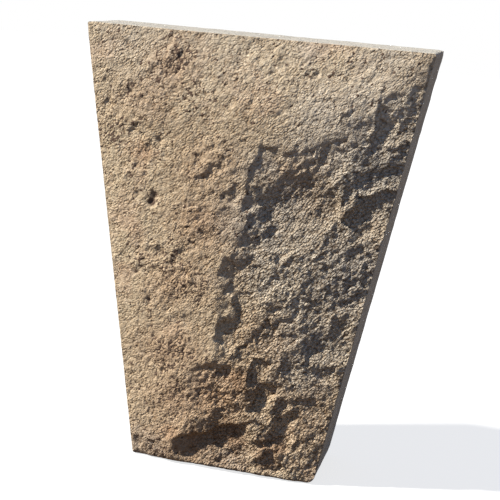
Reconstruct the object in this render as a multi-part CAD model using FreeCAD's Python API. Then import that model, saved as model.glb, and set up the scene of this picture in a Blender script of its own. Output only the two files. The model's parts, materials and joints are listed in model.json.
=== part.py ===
"""A wedge-shaped, rock-faced cast-stone block for a garden wall, in millimetres.

The block stands on its narrow foot with the rock face towards -Y. The origin is the
middle of the foot bed. The beds, the joints and the back are flat. The face is one
rough surface, pitched up from its four straight arrises to a crown: a slab on the left
and along the head, and to its right, below a ridge, a zone of broken steps.
"""
import FreeCAD, Part
import math
import os
from collections import namedtuple

# Outline of the block, seen from the front
HEIGHT = 400.0
TOP_WIDTH = 312.0
FOOT_WIDTH = 175.0
TOP_CORNER_RADIUS = 2.5
FOOT_CORNER_RADIUS = 3.0
WORN_CORNER_RADIUS = 8.0

# Depth from the front arris to the back, and the eased edge round the back
BED_DEPTH = 80.0
BACK_CHAMFER = 2.0

# The crown of the face: how steeply it is pitched up from each arris, as rise over run. The
# slab's slope eases by LEFT_BEND for each millimetre from the left arris, until past its crest
# it falls at CREST_FALL. The right side gets steeper between the heights TURN_FOOT and TURN_HEAD.
# Creases between the pitched planes are rounded, CREASE_DROP below their crossing.
LEFT_PITCH = 0.24
LEFT_BEND = 0.00098
CREST_FALL = 0.05
RIGHT_PITCH = 0.18
RIGHT_HEAD_PITCH = 0.50
TURN_FOOT = 310.0
TURN_HEAD = 385.0
HEAD_PITCH = 0.20
FOOT_PITCH = 2.0
CREASE_DROP = 2.0

# Width along the arrises over which the breaks of the face fade out
ARRIS_WIDTH = 12.0

# Spacing of the points that the face surface passes through, and its reach past the outline
FACE_STEP = 12.0
FACE_MARGIN = 36.0

# The ridge line between the slab and the broken zone, from foot to head: height above the foot
# and place across the face. The face falls by drop to the right of it, over a width of reach.
RidgePoint = namedtuple("RidgePoint", "z x drop reach")
RIDGE_LINE = [
    RidgePoint(z=0, x=-46, drop=0.0, reach=30),
    RidgePoint(z=20, x=-40, drop=6.0, reach=32),
    RidgePoint(z=50, x=-36, drop=7.5, reach=36),
    RidgePoint(z=98, x=-34, drop=7.0, reach=36),
    RidgePoint(z=105, x=-13, drop=4.0, reach=22),
    RidgePoint(z=200, x=-12, drop=4.0, reach=22),
    RidgePoint(z=214, x=2, drop=3.5, reach=22),
    RidgePoint(z=270, x=4, drop=4.0, reach=24),
    RidgePoint(z=292, x=10, drop=4.0, reach=30),
    RidgePoint(z=322, x=50, drop=3.5, reach=70),
    RidgePoint(z=345, x=106, drop=1.5, reach=30),
    RidgePoint(z=366, x=122, drop=0.0, reach=14),
]

# The main broken steps of the face. Each falls from a lip through (x, z) in the direction fall,
# in degrees from +X, over a lip of twice half. It is lip deep at the lip and toe deep at the end
# of its run, and after that the face comes back up over its rise.
Step = namedtuple("Step", "x z fall half run rise lip toe")
STEPS = [
    # Upper right
    Step(110, 330, -6, 22, 9, 10, 2.4, 2.0),
    Step(114, 296, -75, 14, 11, 12, 2.6, 2.4),
    Step(66, 303, -20, 13, 12, 14, 2.3, 2.1),
    # The hollow under the right ledge and the dip beside it
    Step(121, 277, -80, 15, 20, 18, 4.2, 4.4),
    Step(101, 261, -28, 17, 20, 18, 4.2, 4.4),
    Step(45, 298, -50, 24, 34, 50, 0.8, 3.4),
    # Down the ridge
    Step(13, 290, -8, 16, 10, 16, 1.9, 1.6),
    Step(4, 261, -10, 12, 10, 14, 1.6, 1.3),
    Step(12, 232, -15, 14, 9, 14, 1.5, 1.2),
    Step(-12, 196, -15, 10, 13, 12, 2.2, 1.8),
    Step(3, 160, -8, 17, 8, 12, 2.0, 1.7),
    Step(-12, 134, -8, 12, 13, 12, 2.6, 2.0),
    # Middle right
    Step(57, 166, -30, 12, 16, 18, 0.9, 2.2),
    Step(81, 148, -75, 17, 13, 16, 0.9, 2.0),
    Step(97, 192, -30, 16, 18, 16, 0.8, 2.0),
    Step(93, 228, -18, 15, 16, 16, 0.9, 2.0),
    Step(27, 144, -45, 9, 13, 14, 0.9, 1.8),
    Step(51, 116, -40, 8, 12, 12, 1.0, 1.8),
    # The recesses and the ledge of the foot
    Step(23, 102, -8, 13, 10, 7, 3.2, 2.8),
    Step(27, 79, -14, 15, 13, 8, 3.4, 3.0),
    Step(46, 48, -12, 17, 14, 9, 4.0, 4.2),
    Step(74, 81, -80, 11, 11, 8, 1.8, 1.4),
    Step(-41, 18, -10, 11, 16, 10, 2.8, 2.4),
    Step(-16, 37, -63, 30, 22, 14, 5.4, 6.0),
    Step(38, 20, -45, 10, 14, 8, 2.3, 1.8),
]

# How far on either side of a lip its fall spreads, and the shares of half between which a
# step fades out at its ends
STEP_LIP = 5.0
STEP_FULL = 0.8
STEP_GONE = 1.25


def outline_corners():
    """The four corners of the front outline with their radii, anticlockwise from the front."""
    half_top = TOP_WIDTH / 2
    half_foot = FOOT_WIDTH / 2
    return [
        (FreeCAD.Vector(-half_foot, 0, 0), FOOT_CORNER_RADIUS),
        (FreeCAD.Vector(half_foot, 0, 0), WORN_CORNER_RADIUS),
        (FreeCAD.Vector(half_top, 0, HEIGHT), TOP_CORNER_RADIUS),
        (FreeCAD.Vector(-half_top, 0, HEIGHT), TOP_CORNER_RADIUS),
    ]


def rounded_outline():
    """The outline as a closed wire in the plane y = 0, each corner a tangent arc."""
    corners = outline_corners()
    arcs = []
    for index, (corner, radius) in enumerate(corners):
        before = corners[index - 1][0]
        after = corners[(index + 1) % len(corners)][0]
        to_before = (before - corner).normalize()
        to_after = (after - corner).normalize()
        half_angle = to_before.getAngle(to_after) / 2
        bisector = (to_before + to_after).normalize()
        setback = radius / math.tan(half_angle)
        centre = corner + bisector * (radius / math.sin(half_angle))
        middle = centre - bisector * radius
        arcs.append((corner + to_before * setback, middle, corner + to_after * setback))
    edges = []
    for index, (start, middle, end) in enumerate(arcs):
        next_start = arcs[(index + 1) % len(arcs)][0]
        edges.append(Part.Arc(start, middle, end).toShape())
        edges.append(Part.LineSegment(end, next_start).toShape())
    return Part.Wire(edges)


def smooth_step(share):
    """Rises from 0 to 1 with level ends as share goes from 0 to 1."""
    share = min(max(share, 0.0), 1.0)
    return share * share * (3 - 2 * share)


def half_width_at(z):
    """Half the width of the outline at height z."""
    return (FOOT_WIDTH + (TOP_WIDTH - FOOT_WIDTH) * z / HEIGHT) / 2


def edge_distances(x, z):
    """Distances of a point of the face from the left, right and head arrises."""
    half_width = half_width_at(z)
    return half_width + x, half_width - x, HEIGHT - z


def lesser(first, second):
    """The lesser of two heights, with the crease between them rounded."""
    apart = abs(first - second)
    return min(first, second) - CREASE_DROP * math.exp(-apart / (2 * CREASE_DROP))


def crown(x, z):
    """Height of the pitched face above the arris plane, before it was broken."""
    left, right, head = edge_distances(x, z)
    crest = (LEFT_PITCH + CREST_FALL) / (2 * LEFT_BEND)
    rise = min(left, crest)
    slab = rise * (LEFT_PITCH - LEFT_BEND * rise) - CREST_FALL * (left - rise)
    turned = smooth_step((z - TURN_FOOT) / (TURN_HEAD - TURN_FOOT))
    right_pitch = RIGHT_PITCH + (RIGHT_HEAD_PITCH - RIGHT_PITCH) * turned
    return lesser(lesser(slab, HEAD_PITCH * head), right_pitch * right)


def breaking(x, z):
    """How far the breaks show at a point, from 0 on the left and head arrises to 1 inside."""
    left, _, head = edge_distances(x, z)
    return smooth_step(left / ARRIS_WIDTH) * smooth_step(head / ARRIS_WIDTH)


def ridge_at(z):
    """The point of the ridge line at height z."""
    if z <= RIDGE_LINE[0].z:
        return RIDGE_LINE[0]
    for lower, upper in zip(RIDGE_LINE, RIDGE_LINE[1:]):
        if z <= upper.z:
            share = (z - lower.z) / (upper.z - lower.z)
            return RidgePoint(*[start + share * (end - start) for start, end in zip(lower, upper)])
    return RIDGE_LINE[-1]


def scarp_depth(x, z):
    """How far the face has fallen below the slab at a point past the ridge line."""
    ridge = ridge_at(z)
    half_width = half_width_at(z)
    if x <= ridge.x or x >= half_width:
        return 0.0
    share = min((x - ridge.x) / ridge.reach, 1.0)
    taper = (half_width - x) / (half_width - ridge.x)
    return ridge.drop * share * taper


def step_depth(step, x, z):
    """Depth that one broken step leaves at a point of the face."""
    fall = math.radians(step.fall)
    down = (x - step.x) * math.cos(fall) + (z - step.z) * math.sin(fall)
    along = (z - step.z) * math.cos(fall) - (x - step.x) * math.sin(fall)
    floor = step.lip + (step.toe - step.lip) * min(max(down / step.run, 0.0), 1.0)
    start = smooth_step((down + STEP_LIP) / (2 * STEP_LIP))
    end = 1 - smooth_step((down - step.run) / step.rise)
    width = 1 - smooth_step((abs(along) / step.half - STEP_FULL) / (STEP_GONE - STEP_FULL))
    return floor * start * end * width


def face_height(x, z):
    """How far the face stands in front of the arris plane at a point."""
    broken = scarp_depth(x, z) + max(step_depth(step, x, z) for step in STEPS)
    return crown(x, z) - broken * breaking(x, z)


def even_steps(low, high, step):
    """Evenly spaced values from low to high, about step apart."""
    count = max(2, round((high - low) / step))
    return [low + (high - low) * index / count for index in range(count + 1)]


def space_in_front():
    """The space in front of the rock face, as a solid that trims the block."""
    half_reach = max(TOP_WIDTH, FOOT_WIDTH) / 2 + FACE_MARGIN
    across = even_steps(-half_reach, half_reach, FACE_STEP)
    upward = even_steps(-FACE_MARGIN, HEIGHT + FACE_MARGIN, FACE_STEP)
    front = -BED_DEPTH / 2
    points = [[FreeCAD.Vector(x, front - face_height(x, z), z) for z in upward] for x in across]
    surface = Part.BSplineSurface()
    surface.interpolate(points)
    return surface.toShape().extrude(FreeCAD.Vector(0, -2 * BED_DEPTH, 0))


def space_below_foot_pitch():
    """The space in front of the steep strip along the foot arris, as a solid that trims the block."""
    half_reach = max(TOP_WIDTH, FOOT_WIDTH) / 2 + FACE_MARGIN
    arris = -BED_DEPTH / 2
    corners = [
        FreeCAD.Vector(-half_reach, arris, 0),
        FreeCAD.Vector(-half_reach, arris - BED_DEPTH, BED_DEPTH / FOOT_PITCH),
        FreeCAD.Vector(-half_reach, arris - BED_DEPTH, 0),
    ]
    section = Part.Face(Part.makePolygon(corners + corners[:1]))
    return section.extrude(FreeCAD.Vector(2 * half_reach, 0, 0))


def wall_block():
    """The whole block: a wedge with flat beds, joints and back, trimmed to the rock face."""
    length = 2 * BED_DEPTH
    back = BED_DEPTH / 2
    section = Part.Face(rounded_outline())
    section.translate(FreeCAD.Vector(0, back, 0))
    wedge = section.extrude(FreeCAD.Vector(0, -length, 0))
    if BACK_CHAMFER > 0:
        back_face = max(wedge.Faces, key=lambda face: face.CenterOfMass.y)
        wedge = wedge.makeChamfer(BACK_CHAMFER, back_face.Edges)
    return wedge.cut(space_in_front()).cut(space_below_foot_pitch())


os.makedirs("parts", exist_ok=True)
block = wall_block()
solid = block.Solids[0]
print("solids", len(block.Solids), "valid", block.isValid())
print("volume, litres", round(solid.Volume / 1e6, 3))
print("box", solid.optimalBoundingBox())
solid.exportStep("parts/wall_block.step")
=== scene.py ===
import itertools
import json
import math
from collections import namedtuple

import bpy
import numpy as np
from mathutils import Matrix, Vector


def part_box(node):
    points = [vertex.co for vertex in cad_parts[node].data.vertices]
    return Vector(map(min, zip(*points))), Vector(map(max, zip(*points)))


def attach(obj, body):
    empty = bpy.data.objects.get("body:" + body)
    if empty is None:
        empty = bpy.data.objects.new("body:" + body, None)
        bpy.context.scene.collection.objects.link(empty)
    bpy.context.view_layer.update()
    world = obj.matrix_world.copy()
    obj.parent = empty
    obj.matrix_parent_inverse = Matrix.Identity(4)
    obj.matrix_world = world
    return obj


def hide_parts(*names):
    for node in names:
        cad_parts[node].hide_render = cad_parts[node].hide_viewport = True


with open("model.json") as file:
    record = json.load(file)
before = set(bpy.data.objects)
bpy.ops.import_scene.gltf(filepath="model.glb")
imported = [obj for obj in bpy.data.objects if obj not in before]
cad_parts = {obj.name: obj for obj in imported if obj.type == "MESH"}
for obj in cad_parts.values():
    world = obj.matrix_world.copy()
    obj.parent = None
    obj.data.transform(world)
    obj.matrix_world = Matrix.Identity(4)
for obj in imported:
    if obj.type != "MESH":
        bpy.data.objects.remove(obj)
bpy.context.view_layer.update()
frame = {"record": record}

# A wedge-shaped cast-stone block with a rock face, built as one closed mesh over its solid.
# Lengths below are in millimetres, and MM turns them into metres.
MM = 0.001

# Sizes of the block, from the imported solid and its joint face
low_corner, high_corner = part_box("wall_block")
mounts = {mount["name"]: mount for mount in frame["record"]["mounts"]}
joint_pos = mounts["right_joint"]["pos_m"]
joint_axis = mounts["right_joint"]["axis"]
HEIGHT = (high_corner[2] - low_corner[2]) / MM
BACK = high_corner[1] / MM
ARRIS = -BACK
JOINT_LEAN = -joint_axis[2] / joint_axis[0]
HALF_FOOT = (joint_pos[0] - joint_pos[2] * JOINT_LEAN) / MM

# Corner radii of the outline, of which WORN_RADIUS is the one at the lower right, and the worn
# bevels of its front and back edges
HEAD_RADIUS = 2.5
FOOT_RADIUS = 3.0
WORN_RADIUS = 8.0
FRONT_BEVEL = 0.4
BACK_BEVEL = 2.0

# Mesh density. The rings round the block are halved twice between the face and the back, so the
# face has four times as many steps as the back, both ways.
BACK_ACROSS = 60
BACK_UP = 80
FACE_PER_BACK = 4
FACE_ACROSS = FACE_PER_BACK * BACK_ACROSS
FACE_UP = FACE_PER_BACK * BACK_UP

# Edges that turn by more than this angle are shaded as sharp ones
SHARP_ANGLE = math.radians(38)

# Depths behind the arris of the rings round the block, dense near the arris
FINE_RINGS = [1.0, 2.4, 4.5, 8.0, 13.0, 20.0]
MIDDLE_RINGS = [30.0, 42.0, 56.0, 70.0]

# The crown of the face is pitched up from the four arrises at these slopes. From the left arris
# the slope eases by twice LEFT_BEND for each millimetre, over a crest, until the slab falls at
# CREST_FALL. From the right arris it steepens to RIGHT_HEAD_PITCH between the two heights of
# RIGHT_TURN.
LEFT_PITCH = 0.24
LEFT_BEND = 0.00098
CREST_FALL = 0.05
RIGHT_PITCH = 0.18
RIGHT_HEAD_PITCH = 0.6
RIGHT_TURN = (330.0, 398.0)
HEAD_PITCH = 0.20
FOOT_PITCH = 3.0

# Creases between the pitched planes are rounded: by CREASE_DROP on the crease, and less where
# the planes lie apart, fading over CREASE_FADE
CREASE_DROP = 2.0
CREASE_FADE = 4.0

# The slab rolls down by this much to the foot arris, mostly over this width
FOOT_ROLL = 3.0
ROLL_WIDTH = 10.0

# Width along the arrises over which the breaks of the face fade out, and the shares of them
# that are left on the right and foot arrises
ARRIS_WIDTH = 10.0
RIGHT_SHARE = 0.9
FOOT_SHARE = 0.3

# The ridge between the slab and the broken zone, from foot to head. The face falls by drop
# to the right of it, over a scarp that is reach wide.
RidgePoint = namedtuple("RidgePoint", "z x drop reach")
RIDGE_LINE = [
    RidgePoint(z=0, x=-46, drop=0.0, reach=30),
    RidgePoint(z=20, x=-40, drop=6.0, reach=32),
    RidgePoint(z=50, x=-36, drop=6.7, reach=30),
    RidgePoint(z=98, x=-34, drop=5.2, reach=28),
    RidgePoint(z=105, x=-13, drop=4.0, reach=22),
    RidgePoint(z=190, x=-12, drop=4.0, reach=22),
    RidgePoint(z=236, x=2, drop=3.5, reach=22),
    RidgePoint(z=262, x=4, drop=4.0, reach=28),
    RidgePoint(z=292, x=10, drop=4.0, reach=80),
    RidgePoint(z=316, x=50, drop=3.5, reach=80),
    RidgePoint(z=338, x=106, drop=1.5, reach=30),
    RidgePoint(z=362, x=122, drop=0.0, reach=30),
    RidgePoint(z=384, x=160, drop=0.0, reach=30),
]

# Broken steps of the face. Each falls from a lip through (x, z) in the direction fall, in
# degrees from +X, over a lip of twice half. It is lip deep at the lip and toe deep at the end
# of its run, and after that the face comes back up over its rise.
Step = namedtuple("Step", "x z fall half run rise lip toe")
STEPS = [
    # Small breaks of the slab
    Step(-1, 346, -30, 9, 4, 6, 1.2, 0.8),
    Step(-70, 386, -45, 8, 8, 8, 1.0, 0.7),
    Step(-88, 366, -40, 8, 8, 8, 0.9, 0.6),
    Step(-66, 352, -40, 5, 4, 5, 0.9, 0.6),
    Step(-116, 342, -40, 9, 4, 6, 0.9, 0.6),
    Step(-134, 330, -40, 5, 4, 5, 1.0, 0.6),
    Step(-104, 312, -40, 7, 7, 8, 0.9, 0.6),
    Step(-80, 302, -40, 6, 4, 6, 0.9, 0.6),
    Step(-92, 294, -35, 12, 6, 8, 1.0, 0.7),
    Step(-104, 274, -35, 10, 5, 8, 0.9, 0.6),
    Step(-72, 206, -30, 6, 5, 6, 1.0, 0.7),
    Step(-60, 197, -40, 6, 5, 6, 1.0, 0.7),
    Step(-50, 184, -40, 6, 5, 6, 0.9, 0.6),
    Step(-36, 246, -40, 8, 5, 8, 0.8, 0.6),
    Step(-28, 284, -45, 14, 6, 10, 0.9, 0.7),
    # Upper right
    Step(154, 394, 0, 4, 2, 2, 1.6, 1.2),
    Step(141, 372, -75, 6, 3, 4, 0.6, 0.4),
    Step(120, 361, -35, 8, 6, 6, 1.5, 1.2),
    Step(110, 330, -6, 22, 8, 10, 2.1, 1.8),
    Step(118, 297, -78, 19, 13, 10, 2.8, 2.3),
    Step(66, 299, -20, 17, 12, 14, 2.3, 2.1),
    Step(82, 322, -60, 7, 8, 8, 1.3, 1.0),
    # The hollow under the right ledge and the rib beside it
    Step(123, 277, -76, 19, 19, 18, 3.7, 3.9),
    Step(101, 261, -42, 17, 17, 18, 3.7, 3.7),
    Step(92, 242, -28, 12, 7, 8, 1.7, 1.4),
    Step(85, 260, -28, 22, 4, 8, 1.5, 1.7),
    Step(36, 303, -70, 32, 46, 60, 0.5, 4.4),
    # Down the ridge
    Step(10, 290, -8, 16, 11, 16, 2.1, 1.8),
    Step(-11, 267, -40, 8, 9, 8, 1.5, 1.2),
    Step(4, 261, -10, 12, 10, 14, 1.6, 1.3),
    Step(6, 232, -15, 14, 9, 14, 1.5, 1.2),
    Step(-12, 196, -15, 10, 13, 12, 2.2, 1.8),
    Step(-2, 180, -12, 9, 7, 10, 2.2, 1.8),
    Step(3, 160, -8, 17, 9, 12, 2.6, 2.2),
    Step(-12, 137, -8, 13, 14, 12, 3.0, 2.4),
    # Middle right
    Step(67, 163, -30, 11, 14, 16, 0.5, 1.4),
    Step(46, 152, -50, 8, 12, 16, 0.6, 1.5),
    Step(83, 156, -75, 20, 28, 12, 1.1, 2.8),
    Step(84, 176, -15, 11, 9, 14, 0.5, 1.0),
    Step(97, 192, -30, 16, 18, 16, 0.4, 1.1),
    Step(93, 228, -18, 15, 16, 16, 0.5, 1.1),
    Step(112, 218, -40, 9, 12, 12, 0.6, 1.2),
    Step(27, 144, -45, 10, 14, 14, 1.4, 2.2),
    Step(13, 127, -50, 9, 11, 14, 1.3, 1.9),
    Step(51, 116, -40, 8, 12, 12, 1.0, 1.8),
    Step(88, 111, -75, 8, 7, 10, 1.0, 1.4),
    # The ledge over the pocket and the recesses of the foot
    Step(-10, 102, -90, 27, 4, 16, 0.6, 0.4),
    Step(23, 102, -8, 13, 10, 7, 3.7, 3.2),
    Step(27, 79, -14, 15, 13, 8, 3.9, 3.4),
    Step(44, 88, -15, 6, 5, 5, 1.6, 1.2),
    Step(48, 68, -15, 10, 7, 6, 2.2, 2.0),
    Step(46, 48, -12, 17, 14, 9, 4.0, 4.2),
    Step(74, 81, -80, 11, 11, 8, 1.8, 1.4),
    Step(-41, 18, -10, 11, 16, 10, 2.8, 2.4),
    Step(-13, 37, -68, 32, 46, 14, 6.2, 4.8),
    Step(36, 36, -85, 9, 7, 6, 1.9, 1.5),
    Step(38, 20, -45, 10, 14, 8, 2.3, 1.8),
]

# Half the width over which the lip of a step falls, and where the step ends sideways: it is full
# up to the first share of half and gone from the second
STEP_LIP = 2.0
STEP_ENDS = (0.8, 1.25)

# Small pits of the slab, and how much shade is painted inside them. The painted shade starts where a
# pit has PIT_RIM of its depth and is full where it has PIT_FLOOR of it.
Pit = namedtuple("Pit", "x z radius depth dark")
PITS = [
    Pit(-82, 246, 5, 3.4, 1.0),
    Pit(-79, 253, 4, 2.4, 0.8),
    Pit(-96, 252, 3, 1.4, 0.3),
    Pit(-70, 200, 4, 1.8, 0.3),
    Pit(-79, 155, 3, 1.8, 0.7),
    Pit(-83, 14, 5, 2.2, 0.3),
    Pit(-78, 303, 3, 1.6, 0.3),
]
PIT_RIM = 0.4
PIT_FLOOR = 0.7

# Spots where the stone is browner, in part as painted shade; where shade is painted dark brown;
# where it is greyer, in part as painted shade; where light is painted on paler; where it is
# rougher; and spots where pores cluster
Spot = namedtuple("Spot", "x z radius share")
# Brown stains, in part painted shade: the spots in the hollow right of the ridge and along the foot
# ledge darken where shade falls
STAINS_AND_SHADE = [
    Spot(-72, 372, 24, 0.6),
    Spot(-90, 342, 26, 0.35),
    Spot(-34, 282, 40, 0.4),
    Spot(-30, 236, 34, 0.65),
    Spot(-52, 176, 30, 0.5),
    Spot(-52, 112, 32, 0.55),
    Spot(-46, 62, 34, 0.6),
    Spot(-8, 72, 34, 0.75),
    Spot(10, 92, 16, 0.8),
    Spot(0, 8, 24, 0.55),
    Spot(-50, 30, 16, 0.9),
    Spot(0, 342, 24, 0.3),
    Spot(-90, 290, 14, 0.5),
    Spot(36, 132, 34, 0.4),
    Spot(72, 50, 46, 0.4),
    Spot(-62, 10, 24, 0.7),
    Spot(-24, 24, 24, 0.7),
    Spot(4, 38, 20, 0.7),
    Spot(44, 32, 18, 0.7),
    Spot(48, 278, 26, 0.5),
]
# Painted shade, dark brown: under the foot ledge, in the recesses beside the pocket and at the foot
SHADE_SPOTS = [
    Spot(-38, 16, 11, 0.8),
    Spot(-24, 24, 13, 0.9),
    Spot(-8, 32, 13, 0.9),
    Spot(6, 40, 12, 0.8),
    Spot(40, 31, 9, 0.7),
    Spot(50, 30, 9, 0.7),
    Spot(44, 14, 9, 0.6),
    Spot(14, 28, 11, 0.7),
    Spot(-30, 8, 10, 0.5),
    Spot(-6, 8, 14, 0.4),
    Spot(22, 6, 14, 0.3),
    Spot(-70, 8, 12, 0.2),
    Spot(12, 92, 10, 0.5),
    Spot(28, 86, 10, 0.5),
]
# A greyer tone over the broken zone, and painted shade at the foot and along the head
GREYS_AND_SHADE = [
    Spot(118, 300, 60, 1.0),
    Spot(66, 228, 42, 0.7),
    Spot(100, 200, 60, 1.0),
    Spot(80, 140, 45, 0.8),
    Spot(15, 240, 30, 0.8),
    Spot(18, 288, 18, 0.7),
    Spot(30, 226, 30, 0.9),
    Spot(40, 255, 30, 0.9),
    Spot(-70, 8, 20, 0.5),
    Spot(6, 8, 24, 0.6),
    Spot(120, 396, 34, 0.6),
    Spot(-110, 400, 46, 0.35),
    Spot(-30, 402, 46, 0.35),
    Spot(48, 392, 16, 0.5),
    Spot(70, 10, 40, 0.2),
    Spot(80, 64, 46, 0.2),
]
# Painted light: paler spots that brighten the upper right and places in the middle of the zone where the
# face catches light, such as ribs
LIGHT_SPOTS = [
    Spot(98, 352, 30, 0.8),
    Spot(68, 342, 30, 0.8),
    Spot(54, 318, 20, 0.7),
    Spot(92, 292, 14, 0.8),
    Spot(20, 372, 36, 0.2),
    Spot(-115, 388, 50, 0.15),
    Spot(130, 346, 24, 1.0),
    Spot(34, 188, 24, 0.8),
    Spot(54, 172, 16, 0.9),
    Spot(72, 206, 18, 0.8),
    Spot(70, 104, 16, 0.6),
]
ROUGHS = [
    Spot(-72, 380, 16, 1.0),
    Spot(-88, 364, 14, 0.8),
    Spot(-114, 340, 14, 0.7),
    Spot(-132, 328, 11, 0.8),
    Spot(-136, 362, 14, 0.6),
    Spot(-105, 312, 16, 0.9),
    Spot(-84, 297, 20, 1.0),
    Spot(-104, 272, 16, 0.8),
    Spot(-30, 286, 30, 0.8),
    Spot(-38, 238, 26, 0.8),
    Spot(-66, 196, 22, 1.0),
    Spot(-46, 180, 18, 0.8),
    Spot(-88, 188, 14, 0.6),
    Spot(-52, 136, 20, 0.7),
    Spot(-54, 106, 18, 0.8),
    Spot(-70, 60, 24, 0.6),
    Spot(-68, 12, 24, 1.0),
    Spot(-48, 30, 16, 0.8),
    Spot(-20, 72, 28, 1.0),
    Spot(4, 12, 22, 1.0),
    Spot(8, 90, 14, 0.8),
    Spot(60, 14, 30, 0.8),
    Spot(45, 378, 22, 0.7),
    Spot(30, 356, 16, 0.6),
    Spot(90, 376, 34, 0.5),
]
PORES = [
    Spot(-70, 376, 14, 1.0),
    Spot(-82, 354, 12, 0.7),
    Spot(-112, 340, 12, 0.6),
    Spot(-124, 305, 14, 0.8),
    Spot(-50, 345, 14, 0.5),
    Spot(-60, 196, 14, 0.8),
    Spot(-44, 176, 16, 0.7),
    Spot(-90, 190, 12, 0.6),
    Spot(-54, 108, 16, 0.8),
    Spot(-48, 72, 18, 0.6),
    Spot(-64, 12, 16, 0.6),
]

# Noise in the mesh: height in millimetres of bumps about cell wide, with finer layers. The
# heights of the warps are how far they move a place, and the height of PATCHES has no unit.
# Streaks run to the upper right, STREAK_STRETCH times as long as they are wide. The tables of
# random numbers repeat after TABLE_SIZE cells.
Layer = namedtuple("Layer", "cell layers seed height")
WARP_ACROSS = Layer(cell=14, layers=4, seed=11, height=3.0)
WARP_UP = Layer(cell=14, layers=4, seed=21, height=3.0)
STREAKS = Layer(cell=16, layers=2, seed=31, height=1.35)
CLODS = Layer(cell=10, layers=3, seed=41, height=1.2)
CRUMBS = Layer(cell=3.4, layers=2, seed=46, height=0.45)
SIDE_SKIN = Layer(cell=16, layers=4, seed=71, height=0.35)
BACK_SKIN = Layer(cell=40, layers=4, seed=81, height=0.5)
PATCHES = Layer(cell=46, layers=2, seed=91, height=1.0)
STREAK_STRETCH = 2.6
TABLE_SIZE = 256

# Grit that shows in the mesh: width and height of the grains, coarse and fine. Each grain has
# its own share of the height, within TALL_RANGE, and LEVEL_SHARE lies level with the face.
Grit = namedtuple("Grit", "cell seed height")
COARSE_GRIT = Grit(cell=5.4, seed=51, height=0.9)
FINE_GRIT = Grit(cell=3.0, seed=61, height=0.8)
TALL_RANGE = (0.3, 1.0)
LEVEL_SHARE = 0.5

# Broken facets of the zone, about cell wide: how steeply they fall to the lower right on the
# whole, and how far each one's tilt may differ. They show in full from FACET_EDGE of the way
# down the scarp of the ridge.
Facets = namedtuple("Facets", "cell seed fall spread")
FACETS = Facets(cell=12, seed=101, fall=0.05, spread=0.03)
FACET_EDGE = 0.35
UPPER_LEFT = np.array([-1, 1]) / math.sqrt(2)

# Shares of the lumps that show: on smooth patches, and more on rough patches and in the zone.
# Rough patches are the ROUGHS spots and also, up to PATCH_NOISE, places where the noise of
# PATCHES rises through PATCH_RANGE. Where the breaks fade out, ARRIS_ROUGH of the lumps is left.
SMOOTH_SHARE = 0.29
PATCH_SHARE = 0.5
ZONE_SHARE = 0.21
PATCH_NOISE = 0.35
PATCH_RANGE = (-0.5, 0.6)
ARRIS_ROUGH = 0.3

# Shares of the fine grains that show: everywhere, and more on rough patches and in the zone
GRAIN_SHARE = 0.6
PATCH_GRAIN = 0.4
ZONE_GRAIN = 0.1

# How much of the pores a rough patch shows, and the share of grains that can be missing
PATCH_PORES = 0.16
PORE_SHARE = 0.45

# Colours of the stone, as shares of red, green and blue. A list gives colours along noise, or, for
# the gaps, along the distance from the middle of a grain, where it paints shade into the gaps between
# grains and a little light on their middles, or in GRIT_COLOURS along a random number of each grain.
# These two multiply the colour below them.
PATCH_COLOURS = [
    (0.32, (0.395, 0.31, 0.22)),
    (0.45, (0.44, 0.345, 0.235)),
    (0.58, (0.46, 0.37, 0.255)),
    (0.70, (0.46, 0.345, 0.24)),
]
# Of these, the brown is in part painted shade, the dark brown is painted shade, the grey is in part
# painted shade, the pale colour is painted light, and the pore colour is painted shade in pores and pits
STAIN_AND_SHADE_COLOUR = (0.35, 0.225, 0.138)
SHADE_SPOT_COLOUR = (0.23, 0.145, 0.088)
GREY_AND_SHADE_COLOUR = (0.36, 0.317, 0.262)
LIGHT_SPOT_COLOUR = (0.48, 0.415, 0.328)
PORE_SHADE_COLOUR = (0.12, 0.08, 0.058)
# Painted shade in the gaps between grains, and a little painted light on their middles
GAP_SHADE_COLOURS = [
    (0.35, (1.06, 1.06, 1.06)),
    (0.60, (0.90, 0.88, 0.85)),
    (0.85, (0.56, 0.50, 0.46)),
]
GRIT_COLOURS = [
    (0.0, (0.76, 0.72, 0.68)),
    (0.35, (1.0, 0.98, 0.96)),
    (0.75, (1.06, 1.06, 1.05)),
    (1.0, (1.25, 1.26, 1.28)),
]
PLAIN_COLOURS = [
    (0.35, (0.328, 0.304, 0.262)),
    (0.65, (0.39, 0.365, 0.318)),
]
WHITE = (1.0, 1.0, 1.0)

# Noise in the finish: bumps about cell wide, with detail finer layers
Speckle = namedtuple("Speckle", "cell detail")
PATCH_SPECKLE = Speckle(cell=70, detail=3)
PLAIN_SPECKLE = Speckle(cell=17, detail=4)
PACK_SPECKLE = Speckle(cell=8.0, detail=3)
SAND_SPECKLE = Speckle(cell=3.5, detail=4)
STIR_SPECKLE = Speckle(cell=2.0, detail=2)
SPECKLE_ROUGHNESS = 0.6

# Grains that are only in the finish: their width on the slab and in the zone, which here starts
# at ZONE_START of the way down the scarp, and their height. They are longer towards the upper
# right, and noise moves them about by STIR_REACH. Sand is SAND_SHARE of a grain high. How
# plainly the grains of the slab show goes by PACK_SHARES along noise.
GRAIN_CELL = 1.85
ZONE_GRAIN_CELL = 2.1
ZONE_START = 0.3
GRAIN_HEIGHT = 1.3
GRAIN_LEAN = math.radians(45)
GRAIN_STRETCH = (1.2, 1.0, 0.9)
STIR_REACH = 1.3
SAND_SHARE = 1.3
PACK_SHARES = [
    (0.38, (0.2, 0.2, 0.2)),
    (0.62, (1.0, 1.0, 1.0)),
]

# How matt the stone is, and the strength of its fine relief
STONE_ROUGHNESS = 0.95
STONE_SPECULAR = 0.05
BUMP_STRENGTH = 1.0

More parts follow.
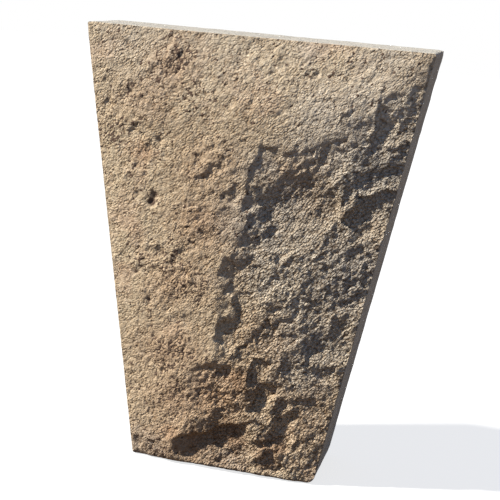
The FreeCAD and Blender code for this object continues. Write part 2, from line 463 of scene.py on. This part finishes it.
# The floor: half its width, what the camera sees, what it bounces, the glow that keeps it white,
# and how matt it is
FLOOR_HALF_WIDTH = 6000.0
FLOOR_SEEN = (0.2, 0.2, 0.2)
FLOOR_BOUNCE = (0.11, 0.085, 0.06)
FLOOR_GLOW = 0.76
FLOOR_ROUGHNESS = 1.0
FLOOR_SPECULAR = 0.0

# Sky light, the key lamp from the upper left, and a weak warm lamp from behind on the right.
# The softness of a lamp is its width in degrees. The background is white at BACKDROP_STRENGTH.
FILL_COLOUR = (0.35, 0.56, 1.0)
FILL_STRENGTH = 0.46
BACKDROP_STRENGTH = 1.0
KEY_TOWARDS = (-0.65, -0.27, 0.70)
KEY_STRENGTH = 8.3
KEY_SOFTNESS = 2.0
KEY_COLOUR = (1.0, 0.96, 0.88)
SIDE_TOWARDS = (0.55, 0.75, 0.35)
SIDE_STRENGTH = 0.65
SIDE_SOFTNESS = 20.0
SIDE_COLOUR = (1.0, 0.68, 0.32)

# The camera: where it stands as seen from its target, how far it is turned, and its lens
CAMERA_AZIMUTH = math.radians(12.80)
CAMERA_ELEVATION = math.radians(12.73)
CAMERA_ROLL = math.radians(4.78)
CAMERA_DISTANCE = 1074.6
CAMERA_TARGET = (10.4, ARRIS, 212.1)
CAMERA_LENS = 86.4
CAMERA_SENSOR = 36.0


def smooth_step(low, high, value):
    """Rises from 0 to 1 with level ends as value goes from low to high."""
    share = np.clip((value - low) / (high - low), 0.0, 1.0)
    return share * share * (3 - 2 * share)


def in_cells(place, cell):
    """A place counted in cells, and the whole number of the cell that it lies in."""
    counted = np.asarray(place) / cell
    return counted, np.floor(counted).astype(int)


def lattice_noise(x, z, cell, seed):
    """Smooth noise from -1 to 1 with bumps about cell wide."""
    table = np.random.RandomState(seed).uniform(-1, 1, (TABLE_SIZE, TABLE_SIZE))
    across, column = in_cells(x, cell)
    upward, row = in_cells(z, cell)
    rightness = smooth_step(0, 1, across - column)
    highness = smooth_step(0, 1, upward - row)
    left, right = column % TABLE_SIZE, (column + 1) % TABLE_SIZE
    below, above = row % TABLE_SIZE, (row + 1) % TABLE_SIZE
    lower = table[left, below] * (1 - rightness) + table[right, below] * rightness
    upper = table[left, above] * (1 - rightness) + table[right, above] * rightness
    return lower * (1 - highness) + upper * highness


def layered_noise(layer, x, z):
    """Noise with finer layers added, each half as wide and half as strong."""
    total = np.zeros(np.shape(x))
    for index in range(layer.layers):
        share = 0.5 ** index
        total += share * lattice_noise(x, z, layer.cell * share, layer.seed + index)
    return layer.height * total


def near_cells(x, z, cell, middles):
    """For each of the nine cells round a point: its place in the tables, and the way from its middle."""
    across, column = in_cells(x, cell)
    upward, row = in_cells(z, cell)
    for right, up in itertools.product((-1, 0, 1), repeat=2):
        near_column = column + right
        near_row = row + up
        entry = (near_column % TABLE_SIZE, near_row % TABLE_SIZE)
        middle = middles[entry]
        yield entry, across - near_column - middle[..., 0], upward - near_row - middle[..., 1]


def grain_domes(grit, x, z):
    """Grit packed side by side, of all heights, about level with zero."""
    random = np.random.RandomState(grit.seed)
    middles = random.uniform(0, 1, (TABLE_SIZE, TABLE_SIZE, 2))
    tall = random.uniform(*TALL_RANGE, (TABLE_SIZE, TABLE_SIZE))
    best = np.zeros(np.shape(x))
    for entry, right, up in near_cells(x, z, grit.cell, middles):
        distance = np.hypot(right, up)
        dome = np.clip(1 - distance * distance, 0, 1) * tall[entry]
        best = np.maximum(best, dome)
    return grit.height * (best - LEVEL_SHARE)


def facet_tilts(facets, x, z):
    """Facets side by side, each tilted its own way, that fall to the lower right on the whole."""
    random = np.random.RandomState(facets.seed)
    middles = random.uniform(0, 1, (TABLE_SIZE, TABLE_SIZE, 2))
    tilts = random.uniform(-facets.spread, facets.spread, (TABLE_SIZE, TABLE_SIZE, 2))
    tilts = tilts + facets.fall * UPPER_LEFT
    nearest = np.full(np.shape(x), np.inf)
    height = np.zeros(np.shape(x))
    for entry, right, up in near_cells(x, z, facets.cell, middles):
        distance = np.hypot(right, up)
        tilt = tilts[entry]
        plane = facets.cell * (tilt[..., 0] * right + tilt[..., 1] * up)
        height = np.where(distance < nearest, plane, height)
        nearest = np.minimum(distance, nearest)
    return height


def half_width(z):
    """Half the width of the outline at height z."""
    return HALF_FOOT + JOINT_LEAN * z


def rounded(x, z):
    """Moves points of the square-cornered outline onto its rounded corners."""
    x = x.copy()
    z = z.copy()
    stretch = math.hypot(1, JOINT_LEAN)
    corners = [
        (-1, False, FOOT_RADIUS),
        (1, False, WORN_RADIUS),
        (-1, True, HEAD_RADIUS),
        (1, True, HEAD_RADIUS),
    ]
    for side, at_head, radius in corners:
        from_side = (half_width(z) - side * x) / stretch
        from_end = HEIGHT - z if at_head else z
        over_side = 1 - from_side / radius
        over_end = 1 - from_end / radius
        inside = (over_side > 0) & (over_end > 0)
        length = np.hypot(over_side, over_end)
        pull = np.maximum(over_side, over_end) / np.where(length > 0, length, 1)
        new_side = radius * (1 - over_side * pull)
        new_end = radius * (1 - over_end * pull)
        new_z = HEIGHT - new_end if at_head else new_end
        new_x = side * (half_width(new_z) - new_side * stretch)
        x = np.where(inside, new_x, x)
        z = np.where(inside, new_z, z)
    return x, z


def edge_distances(x, z):
    """Distances of a point of the face from the left, right, head and foot arrises."""
    return half_width(z) + x, half_width(z) - x, HEIGHT - z, z


def lesser(first, second):
    """The lesser of two heights, with the crease between them rounded."""
    apart = np.abs(first - second)
    return np.minimum(first, second) - CREASE_DROP * np.exp(-apart / CREASE_FADE)


def crown(x, z):
    """Height of the pitched face above the arris plane, before it was broken."""
    left, right, head, foot = edge_distances(x, z)
    crest = (LEFT_PITCH + CREST_FALL) / (2 * LEFT_BEND)
    rise = np.minimum(left, crest)
    slab = rise * (LEFT_PITCH - LEFT_BEND * rise) - CREST_FALL * (left - rise)
    rolled = FOOT_ROLL * np.exp(-foot / ROLL_WIDTH) * smooth_step(0, ROLL_WIDTH, left)
    upper = lesser(slab, HEAD_PITCH * head) - rolled
    turned = smooth_step(*RIGHT_TURN, z)
    right_pitch = RIGHT_PITCH + (RIGHT_HEAD_PITCH - RIGHT_PITCH) * turned
    lower = lesser(right_pitch * right, FOOT_PITCH * foot)
    return lesser(upper, lower)


def breaking(x, z):
    """How far the breaks of the face show at a point, from little on the arrises to 1 inside."""
    left, right, head, foot = edge_distances(x, z)
    share = RIGHT_SHARE + (1 - RIGHT_SHARE) * smooth_step(0, ARRIS_WIDTH, right)
    share = share * (FOOT_SHARE + (1 - FOOT_SHARE) * smooth_step(0, ARRIS_WIDTH, foot))
    for distance in (left, head):
        share = share * smooth_step(0, ARRIS_WIDTH, distance)
    return share


def past_ridge(x, z):
    """How far down the scarp of the ridge a point lies, from 0 on the slab to 1, and its drop."""
    heights = [point.z for point in RIDGE_LINE]
    ridge = np.interp(z, heights, [point.x for point in RIDGE_LINE])
    reach = np.interp(z, heights, [point.reach for point in RIDGE_LINE])
    drop = np.interp(z, heights, [point.drop for point in RIDGE_LINE])
    share = np.clip((x - ridge) / reach, 0, 1)
    taper = np.clip((half_width(z) - x) / (half_width(z) - ridge), 0, 1)
    return share, drop * share * taper


def step_depth(step, x, z):
    """Depth below the old level that one broken step leaves at each point."""
    fall = math.radians(step.fall)
    down = (x - step.x) * math.cos(fall) + (z - step.z) * math.sin(fall)
    along = (z - step.z) * math.cos(fall) - (x - step.x) * math.sin(fall)
    floor = step.lip + (step.toe - step.lip) * np.clip(down / step.run, 0, 1)
    start = smooth_step(-STEP_LIP, STEP_LIP, down)
    end = 1 - smooth_step(step.run, step.run + step.rise, down)
    full, gone = (share * step.half for share in STEP_ENDS)
    width = 1 - smooth_step(full, gone, np.abs(along))
    return floor * start * end * width


def soft_spot(spot, x, z):
    """1 in the middle of a spot, fading to 0 outside it."""
    distance = np.hypot(x - spot.x, z - spot.z) / spot.radius
    return np.exp(-distance * distance)


def spot_share(spots, x, z):
    """The strongest share that any of the spots has at each point."""
    total = np.zeros(np.shape(x))
    for spot in spots:
        total = np.maximum(total, spot.share * soft_spot(spot, x, z))
    return total


def pit_share(x, z):
    """How much shade the pits paint on each point, from 0 outside their rims to 1 on their floors."""
    total = np.zeros(np.shape(x))
    for pit in PITS:
        total = np.maximum(total, pit.dark * smooth_step(PIT_RIM, PIT_FLOOR, soft_spot(pit, x, z)))
    return total


def warped(x, z):
    """A place on the face moved about by noise, which makes lips and spots uneven."""
    return x + layered_noise(WARP_ACROSS, x, z), z + layered_noise(WARP_UP, x, z)


def broken_depth(x, z, warp_x, warp_z):
    """How far past the ridge each point lies, and the depth of the breaks and pits there."""
    # The ridge is moved across by half as much as the steps are
    zone, depth = past_ridge((x + warp_x) / 2, warp_z)
    deepest = np.zeros(np.shape(x))
    for step in STEPS:
        deepest = np.maximum(deepest, step_depth(step, warp_x, warp_z))
    depth = depth + deepest
    for pit in PITS:
        depth = depth + pit.depth * soft_spot(pit, x, z)
    return zone, depth


def rough_patches(x, z, warp_x, warp_z):
    """How rough the patch is that each point lies in, from 0 to 1."""
    patch = PATCH_NOISE * smooth_step(*PATCH_RANGE, layered_noise(PATCHES, x, z))
    return np.maximum(patch, spot_share(ROUGHS, warp_x, warp_z))


def lump_height(x, z, warp_x, warp_z):
    """Lumps of a fully rough face: streaks, clods and coarse grit."""
    along = (x + z) / math.sqrt(2)
    across = (z - x) / math.sqrt(2)
    lumps = layered_noise(STREAKS, along / STREAK_STRETCH, across)
    lumps = lumps + layered_noise(CLODS, warp_x, warp_z)
    return lumps + grain_domes(COARSE_GRIT, warp_x, warp_z)


def face_relief(x, z):
    """Height of the rock face in front of the arris plane, its rough patches and its zone."""
    warp_x, warp_z = warped(x, z)
    inside = breaking(x, z)
    zone, depth = broken_depth(x, z, warp_x, warp_z)
    tilted = smooth_step(0, FACET_EDGE, zone) * facet_tilts(FACETS, warp_x, warp_z)
    height = crown(x, z) + (tilted - depth) * inside

    patch = rough_patches(x, z, warp_x, warp_z)
    rough = SMOOTH_SHARE + PATCH_SHARE * patch + ZONE_SHARE * zone
    fade = ARRIS_ROUGH + (1 - ARRIS_ROUGH) * inside
    height = height + rough * lump_height(x, z, warp_x, warp_z) * fade

    grains = layered_noise(CRUMBS, x, z) + grain_domes(FINE_GRIT, warp_x, warp_z)
    grains = grains * (GRAIN_SHARE + PATCH_GRAIN * patch + ZONE_GRAIN * zone)
    return height + grains, patch, zone


def outline_grid(rows, columns):
    """Places that fill the outline, in rows from foot to head."""
    across = np.linspace(-1, 1, columns + 1)
    upward = np.linspace(0, HEIGHT, rows + 1)
    z = np.repeat(upward[:, None], columns + 1, axis=1)
    return rounded(across[None, :] * half_width(z), z)


def border_of(rows, columns):
    """Rows and columns of a grid's border, once round from the lower left corner."""
    foot = [(0, column) for column in range(columns)]
    right = [(row, columns) for row in range(rows)]
    head = [(rows, column) for column in range(columns, 0, -1)]
    left = [(row, 0) for row in range(rows, 0, -1)]
    return tuple(np.array(foot + right + head + left).T)


# A closed ring of points in the plane of the face, with its outward normals and the way
# travelled round it
Outline = namedtuple("Outline", "points normals travel")


def outline_of(points):
    """The outline through a closed ring of points."""
    along = np.roll(points, -1, axis=0) - np.roll(points, 1, axis=0)
    normals = np.stack([along[:, 2], np.zeros(len(points)), -along[:, 0]], axis=-1)
    normals = normals / np.linalg.norm(normals, axis=1, keepdims=True)
    lengths = np.linalg.norm(np.diff(points, axis=0), axis=1)
    return Outline(points, normals, np.concatenate([[0], np.cumsum(lengths)]))


def every_other(outline):
    """The same outline with half as many points."""
    return Outline(outline.points[::2], outline.normals[::2], outline.travel[::2])


class MeshParts:
    """Vertices and faces of the block as they are laid down."""

    def __init__(self):
        self.points = []
        self.faces = []
        self.count = 0

    def add_points(self, points):
        """Adds points and returns their numbers."""
        points = points.reshape(-1, 3)
        first = self.count
        self.points.append(points)
        self.count += len(points)
        return first + np.arange(len(points))

    def add_faces(self, *corners):
        """Adds faces, given the first corners of all of them, then the second ones, and so on."""
        self.faces.extend(np.stack(corners, axis=-1).reshape(-1, len(corners)).tolist())

    def join_rings(self, front, back):
        """Joins a ring to one with as many points, and returns the second one."""
        self.add_faces(front, back, np.roll(back, -1), np.roll(front, -1))
        return back

    def halve_ring(self, fine, coarse):
        """Joins a ring to one with half as many points, and returns the second one."""
        first, middle, last = fine[0::2], fine[1::2], np.roll(fine[0::2], -1)
        after = np.roll(coarse, -1)
        self.add_faces(first, coarse, middle)
        self.add_faces(middle, coarse, after)
        self.add_faces(middle, after, last)
        return coarse


def side_ring(outline, depth):
    """One ring round the block: the outline drawn in a little by the cast skin's unevenness."""
    y = ARRIS + depth
    skin = np.abs(layered_noise(SIDE_SKIN, outline.travel, np.full(len(outline.travel), y)))
    ring = outline.points - outline.normals * skin[:, None]
    ring[:, 1] = y
    ring[:, 2] = np.clip(ring[:, 2], 0, HEIGHT)
    return ring


def lay_sides(parts, face_border, outline, relief):
    """Rings from the border of the face back to the bevel of the back; returns the last one."""
    previous = face_border
    for depth in FINE_RINGS:
        ring = side_ring(outline, depth)
        fade = 1 - depth / FINE_RINGS[-1]
        ring[:, 1] -= relief * fade * fade
        previous = parts.join_rings(previous, parts.add_points(ring))

    outline = every_other(outline)
    ring = side_ring(outline, MIDDLE_RINGS[0])
    previous = parts.halve_ring(previous, parts.add_points(ring))
    for depth in MIDDLE_RINGS[1:]:
        ring = side_ring(outline, depth)
        previous = parts.join_rings(previous, parts.add_points(ring))

    outline = every_other(outline)
    ring = side_ring(outline, BACK - ARRIS - BACK_BEVEL)
    return parts.halve_ring(previous, parts.add_points(ring))


def lay_back(parts, last_ring):
    """The flat back, drawn in by its bevel, and the bevel round it."""
    x, z = outline_grid(BACK_UP, BACK_ACROSS)
    middle = HEIGHT / 2
    z = middle + (z - middle) * (1 - BACK_BEVEL / middle)
    x = x * (1 - BACK_BEVEL / half_width(z))
    y = BACK - np.abs(layered_noise(BACK_SKIN, x, z))
    ids = parts.add_points(np.stack([x, y, z], axis=-1)).reshape(x.shape)
    parts.join_rings(last_ring, ids[border_of(BACK_UP, BACK_ACROSS)])
    parts.add_faces(ids[:-1, :-1], ids[1:, :-1], ids[1:, 1:], ids[:-1, 1:])


def paint_shares(mesh, face, face_ids, patch, zone):
    """Keeps on the mesh how far each finish, painted shade and painted light shows on the face;
    elsewhere it is 0.
    """
    x = face[..., 0]
    z = face[..., 2]
    warp_x, warp_z = warped(x, z)
    shares = {
        "rock": np.ones(patch.shape),
        "stain_and_shade": spot_share(STAINS_AND_SHADE, warp_x, warp_z),
        "painted_shade": spot_share(SHADE_SPOTS, warp_x, warp_z),
        "grey_and_shade": spot_share(GREYS_AND_SHADE, warp_x, warp_z),
        "painted_light": spot_share(LIGHT_SPOTS, warp_x, warp_z),
        "zone": zone,
        "pores": np.maximum(PATCH_PORES * patch * (1 - zone), spot_share(PORES, warp_x, warp_z)),
        "pit": pit_share(x, z),
    }
    for name, on_face in shares.items():
        values = np.zeros(len(mesh.vertices), dtype=np.float32)
        values[face_ids.ravel()] = on_face.ravel()
        mesh.attributes.new(name, "FLOAT", "POINT").data.foreach_set("value", values)


def block_mesh():
    """The block as one closed mesh: rock face, rings round the sides, and back."""
    parts = MeshParts()
    x, z = outline_grid(FACE_UP, FACE_ACROSS)
    height, patch, zone = face_relief(x, z)
    face = np.stack([x, ARRIS - height, z], axis=-1)
    border = border_of(FACE_UP, FACE_ACROSS)
    flat_border = face[border]
    flat_border[:, 1] = 0
    outline = outline_of(flat_border)

    face[border] -= outline.normals * FRONT_BEVEL
    face[..., 2] = np.clip(face[..., 2], 0, HEIGHT)
    ids = parts.add_points(face).reshape(x.shape)
    parts.add_faces(ids[:-1, :-1], ids[:-1, 1:], ids[1:, 1:], ids[1:, :-1])
    last_ring = lay_sides(parts, ids[border], outline, height[border])
    lay_back(parts, last_ring)

    points = np.concatenate(parts.points) * MM
    mesh = bpy.data.meshes.new("block_skin")
    mesh.from_pydata(points.tolist(), [], parts.faces)
    mesh.validate()
    paint_shares(mesh, face, ids, patch, zone)
    mesh.shade_smooth()
    mesh.set_sharp_from_angle(angle=SHARP_ANGLE)
    return mesh


def node_of(tree, kind, **settings):
    """A new node, with its plain settings."""
    node = tree.nodes.new(kind)
    for name, value in settings.items():
        setattr(node, name, value)
    return node


def opaque(colour):
    """A colour with its alpha, as a socket holds it."""
    return (*colour, 1.0)


def feed(tree, socket, source):
    """Links a source to a socket; a plain number or colour is set on the socket itself."""
    if isinstance(source, (int, float)):
        socket.default_value = source
    elif isinstance(source, tuple):
        socket.default_value = opaque(source)
    else:
        tree.links.new(source, socket)


def painted(tree, name):
    """One of the shares that the mesh keeps."""
    return node_of(tree, "ShaderNodeAttribute", attribute_name=name).outputs["Fac"]


def noise(tree, place, speckle, output="Fac"):
    """A noise texture in the finish."""
    node = node_of(tree, "ShaderNodeTexNoise")
    node.inputs["Scale"].default_value = 1 / (speckle.cell * MM)
    node.inputs["Detail"].default_value = speckle.detail
    node.inputs["Roughness"].default_value = SPECKLE_ROUGHNESS
    tree.links.new(place, node.inputs["Vector"])
    return node.outputs[output]


def ramp(tree, value, stops):
    """Colours along a value, as (place, colour) pairs."""
    node = node_of(tree, "ShaderNodeValToRGB")
    elements = node.color_ramp.elements
    while len(elements) < len(stops):
        elements.new(stops[1][0])
    for element, (place, colour) in zip(elements, stops):
        element.position = place
        element.color = opaque(colour)
    tree.links.new(value, node.inputs["Fac"])
    return node.outputs["Color"]


def mix(tree, share, first, second, blend="MIX"):
    """Two colours mixed, with share of the second one."""
    node = node_of(tree, "ShaderNodeMix", data_type="RGBA", blend_type=blend)
    sources = {"Factor_Float": share, "A_Color": first, "B_Color": second}
    for socket in node.inputs:
        if socket.identifier in sources:
            feed(tree, socket, sources[socket.identifier])
    return next(socket for socket in node.outputs if socket.identifier == "Result_Color")


def tinted(tree, colour, tint):
    """A colour multiplied by another."""
    return mix(tree, 1.0, colour, tint, "MULTIPLY")


def reckon(tree, operation, *sources):
    """The result of one sum."""
    node = node_of(tree, "ShaderNodeMath", operation=operation)
    for socket, source in zip(node.inputs, sources):
        feed(tree, socket, source)
    return node.outputs["Value"]


def leaning(tree, place):
    """The place stretched so that grains are longer along the upper right than across it."""
    node = node_of(tree, "ShaderNodeMapping", vector_type="TEXTURE")
    node.inputs["Rotation"].default_value = (0, -GRAIN_LEAN, 0)
    node.inputs["Scale"].default_value = GRAIN_STRETCH
    tree.links.new(place, node.inputs["Vector"])
    return node.outputs["Vector"]


def stirred(tree, place):
    """The place moved about by noise, so that grains lose their even shape."""
    node = node_of(tree, "ShaderNodeVectorMath", operation="MULTIPLY_ADD")
    factor, reach, start = node.inputs[:3]
    tree.links.new(noise(tree, place, STIR_SPECKLE, "Color"), factor)
    reach.default_value = (STIR_REACH * MM, STIR_REACH * MM, STIR_REACH * MM)
    tree.links.new(place, start)
    return node.outputs["Vector"]


def packed_grains(tree, place, cell):
    """Grains side by side, about cell wide: distance from each one's middle, and its own colour."""
    node = node_of(tree, "ShaderNodeTexVoronoi")
    node.inputs["Scale"].default_value = 1 / (cell * MM)
    tree.links.new(place, node.inputs["Vector"])
    return node.outputs["Distance"], node.outputs["Color"]


def stone_grains(tree, place, zone):
    """Grains of the slab and the zone: distance from each one's middle, and two random numbers."""
    slab_far, slab_colour = packed_grains(tree, place, GRAIN_CELL)
    zone_far, zone_colour = packed_grains(tree, place, ZONE_GRAIN_CELL)
    broken = reckon(tree, "GREATER_THAN", zone, ZONE_START)
    each = node_of(tree, "ShaderNodeSeparateColor")
    tree.links.new(mix(tree, broken, slab_colour, zone_colour), each.inputs["Color"])
    return mix(tree, broken, slab_far, zone_far), each.outputs["Red"], each.outputs["Green"]


def stone_patches(tree, place):
    """Colour of the face without its grains: tan, with spots of brown and grey that are in part painted
    shade, spots of dark brown painted shade, and spots of painted light.
    """
    colour = ramp(tree, noise(tree, place, PATCH_SPECKLE), PATCH_COLOURS)
    spots = {
        "stain_and_shade": STAIN_AND_SHADE_COLOUR,
        "grey_and_shade": GREY_AND_SHADE_COLOUR,
        "painted_light": LIGHT_SPOT_COLOUR,
        "painted_shade": SHADE_SPOT_COLOUR,
    }
    for name, spot_colour in spots.items():
        colour = mix(tree, painted(tree, name), colour, spot_colour)
    return colour


def stone_material():
    """Tan cast stone: patches of colour, grit, painted shade in pores, pits and the gaps between grains
    on the face, and plain elsewhere.
    """
    material = bpy.data.materials.new("cast_stone")
    material.use_nodes = True
    tree = material.node_tree
    shader = tree.nodes["Principled BSDF"]
    shader.inputs["Roughness"].default_value = STONE_ROUGHNESS
    shader.inputs["Specular IOR Level"].default_value = STONE_SPECULAR
    place = node_of(tree, "ShaderNodeTexCoord").outputs["Object"]
    lean = leaning(tree, place)
    zone = painted(tree, "zone")
    far, tone, chance = stone_grains(tree, stirred(tree, lean), zone)
    packed = ramp(tree, noise(tree, place, PACK_SPECKLE), PACK_SHARES)
    packed = reckon(tree, "MAXIMUM", packed, zone)
    missing = reckon(tree, "MULTIPLY", painted(tree, "pores"), PORE_SHARE)
    hole = reckon(tree, "LESS_THAN", chance, missing)

    colour = tinted(tree, stone_patches(tree, place), ramp(tree, tone, GRIT_COLOURS))
    # Painted shade in the gaps between grains, and a little painted light on their middles
    gap_shade = mix(tree, packed, WHITE, ramp(tree, far, GAP_SHADE_COLOURS))
    colour = tinted(tree, colour, gap_shade)
    # Painted shade: missing grains and the floors of pits take the dark pore colour
    dark = reckon(tree, "MAXIMUM", hole, painted(tree, "pit"))
    colour = mix(tree, dark, colour, PORE_SHADE_COLOUR)
    plain = ramp(tree, noise(tree, place, PLAIN_SPECKLE), PLAIN_COLOURS)
    colour = mix(tree, painted(tree, "rock"), plain, colour)
    tree.links.new(colour, shader.inputs["Base Color"])

    # The gaps between grains, the sand and the pores lie low, up to twice as low in the zone
    dome = reckon(tree, "MULTIPLY", far, far)
    dome = reckon(tree, "MULTIPLY", dome, packed)
    sand = reckon(tree, "MULTIPLY", noise(tree, lean, SAND_SPECKLE), SAND_SHARE)
    low = reckon(tree, "ADD", dome, sand)
    low = reckon(tree, "ADD", low, hole)
    low = reckon(tree, "MULTIPLY", low, reckon(tree, "ADD", zone, 1.0))
    bump = node_of(tree, "ShaderNodeBump", invert=True)
    bump.inputs["Strength"].default_value = BUMP_STRENGTH
    bump.inputs["Distance"].default_value = GRAIN_HEIGHT * MM
    tree.links.new(low, bump.inputs["Height"])
    tree.links.new(bump.outputs["Normal"], shader.inputs["Normal"])
    return material


def dressed_block():
    """The visible block, standing for the plain solid."""
    piece = bpy.data.objects.new("block_skin", block_mesh())
    bpy.context.scene.collection.objects.link(piece)
    piece.data.materials.append(stone_material())
    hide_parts("wall_block")
    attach(piece, "root")


def seen_rays(tree):
    """1 for rays from the camera, also by way of a mirror or glass, and 0 for other light."""
    path = node_of(tree, "ShaderNodeLightPath")
    seen = path.outputs["Is Camera Ray"]
    for name in ("Is Glossy Ray", "Is Transmission Ray"):
        seen = reckon(tree, "MAXIMUM", seen, path.outputs[name])
    return seen


def floor_material():
    """White to the camera, with the block's shadow kept; darker to the light that bounces."""
    material = bpy.data.materials.new("floor")
    material.use_nodes = True
    tree = material.node_tree
    shader = tree.nodes["Principled BSDF"]
    shader.inputs["Roughness"].default_value = FLOOR_ROUGHNESS
    shader.inputs["Specular IOR Level"].default_value = FLOOR_SPECULAR
    seen = seen_rays(tree)
    tree.links.new(mix(tree, seen, FLOOR_BOUNCE, FLOOR_SEEN), shader.inputs["Base Color"])
    shader.inputs["Emission Color"].default_value = opaque(WHITE)
    tree.links.new(reckon(tree, "MULTIPLY", seen, FLOOR_GLOW), shader.inputs["Emission Strength"])
    return material


def stage():
    """A plain white floor."""
    half = FLOOR_HALF_WIDTH * MM
    corners = [(-half, -half, 0), (half, -half, 0), (half, half, 0), (-half, half, 0)]
    mesh = bpy.data.meshes.new("floor")
    mesh.from_pydata(corners, [], [(0, 1, 2, 3)])
    floor = bpy.data.objects.new("floor", mesh)
    bpy.context.scene.collection.objects.link(floor)
    mesh.materials.append(floor_material())


def background(tree, colour, strength):
    """Even light of one colour from all round."""
    node = node_of(tree, "ShaderNodeBackground")
    node.inputs["Color"].default_value = opaque(colour)
    node.inputs["Strength"].default_value = strength
    return node.outputs["Background"]


def world_light():
    """Soft sky light from all round, white where the camera sees it."""
    world = bpy.data.worlds.new("studio")
    bpy.context.scene.world = world
    world.use_nodes = True
    tree = world.node_tree
    tree.nodes.clear()
    either = node_of(tree, "ShaderNodeMixShader")
    share, unseen, seen = either.inputs
    tree.links.new(seen_rays(tree), share)
    tree.links.new(background(tree, FILL_COLOUR, FILL_STRENGTH), unseen)
    tree.links.new(background(tree, WHITE, BACKDROP_STRENGTH), seen)
    output = node_of(tree, "ShaderNodeOutputWorld")
    tree.links.new(either.outputs["Shader"], output.inputs["Surface"])


def lamp(name, towards, strength, softness, colour):
    """A distant lamp that stands in the direction towards."""
    light = bpy.data.lights.new(name, "SUN")
    light.energy = strength
    light.angle = math.radians(softness)
    light.color = colour
    holder = bpy.data.objects.new(name, light)
    holder.rotation_euler = Vector(towards).to_track_quat("Z", "Y").to_euler()
    bpy.context.scene.collection.objects.link(holder)


def camera():
    """The photo's view: from the right and a little above, turned slightly."""
    towards = Vector((
        math.sin(CAMERA_AZIMUTH) * math.cos(CAMERA_ELEVATION),
        -math.cos(CAMERA_AZIMUTH) * math.cos(CAMERA_ELEVATION),
        math.sin(CAMERA_ELEVATION),
    ))
    data = bpy.data.cameras.new("camera")
    data.sensor_width = CAMERA_SENSOR
    data.sensor_fit = "HORIZONTAL"
    data.lens = CAMERA_LENS
    holder = bpy.data.objects.new("camera", data)
    turn = towards.to_track_quat("Z", "Y").to_matrix().to_4x4()
    place = Matrix.Translation((Vector(CAMERA_TARGET) + towards * CAMERA_DISTANCE) * MM)
    holder.matrix_world = place @ turn @ Matrix.Rotation(CAMERA_ROLL, 4, "Z")
    bpy.context.scene.collection.objects.link(holder)
    bpy.context.scene.camera = holder


dressed_block()
stage()
world_light()
lamp("key", KEY_TOWARDS, KEY_STRENGTH, KEY_SOFTNESS, KEY_COLOUR)
lamp("side", SIDE_TOWARDS, SIDE_STRENGTH, SIDE_SOFTNESS, SIDE_COLOUR)
camera()
bpy.context.scene.view_settings.view_transform = "Standard"
